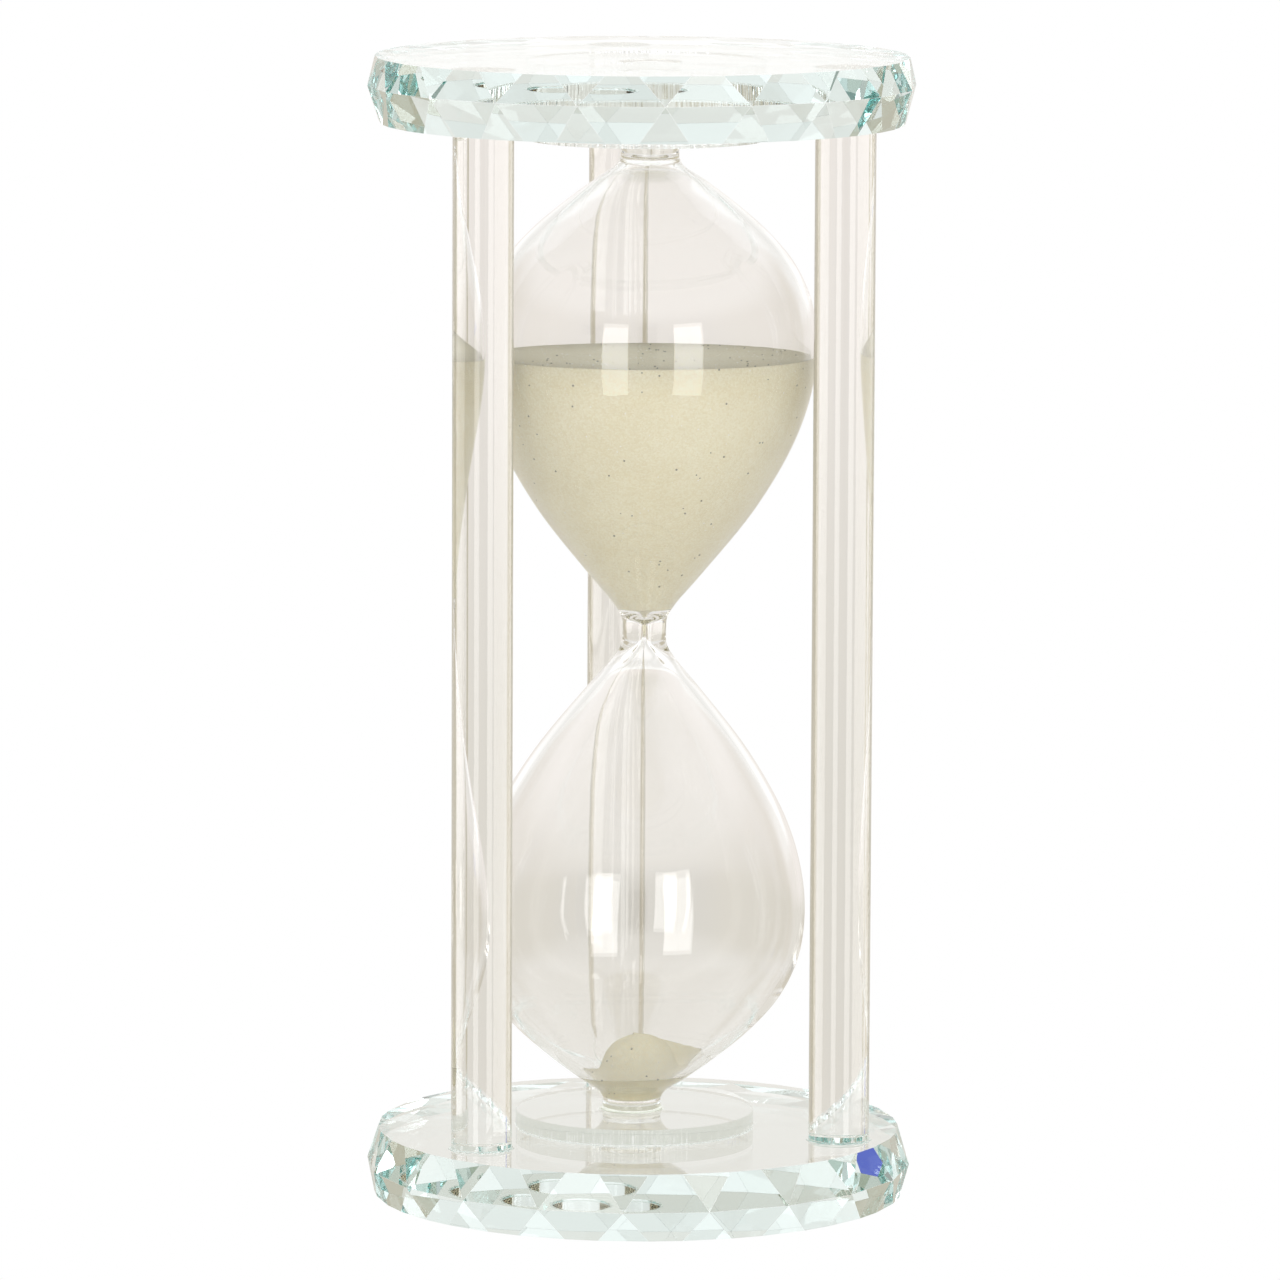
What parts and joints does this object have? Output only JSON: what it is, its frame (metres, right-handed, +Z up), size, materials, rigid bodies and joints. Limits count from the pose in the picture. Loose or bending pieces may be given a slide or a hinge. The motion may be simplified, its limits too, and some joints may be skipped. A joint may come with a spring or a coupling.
{
  "type": "hourglass",
  "caption": "Glass hourglass: blown double bulb with pale sand between thick facet-rimmed glass plates, joined by solid glass rods and clear acrylic flanges.",
  "frame": {"origin": "on the lower resting face of the base plate, at the middle of the plate", "axes": "+Z up along the hourglass, +X to the right and +Y to the back as seen from the front"},
  "size_m": [0.1518, 0.1518, 0.318],
  "materials": {
    "plate_glass": "polished thick float glass with a green-blue edge tint, facet-cut rim",
    "rod_glass": "clear polished solid glass rod",
    "blown_glass": "clear thin blown glass",
    "acrylic": "clear cast acrylic with a saw-cut edge",
    "adhesive": "clear cured adhesive, slightly yellow, glossy",
    "sand": "fine pale beige sand with a few dark grains"
  },
  "bodies": {
    "root": {"base_plate": "plate_glass", "top_plate": "plate_glass", "rod_front_left": "rod_glass", "rod_front_right": "rod_glass", "rod_back": "rod_glass", "lower_pad_front_left": "adhesive", "lower_pad_front_right": "adhesive", "lower_pad_back": "adhesive", "upper_pad_front_left": "adhesive", "upper_pad_front_right": "adhesive", "upper_pad_back": "adhesive", "lower_flange": "acrylic", "upper_flange": "acrylic", "lower_flange_film": "adhesive", "upper_flange_film": "adhesive", "lower_tube_seal": "adhesive", "upper_tube_seal": "adhesive", "glass_bulb": "blown_glass", "upper_sand": "sand", "lower_sand": "sand"}
  },
  "joints": []
}
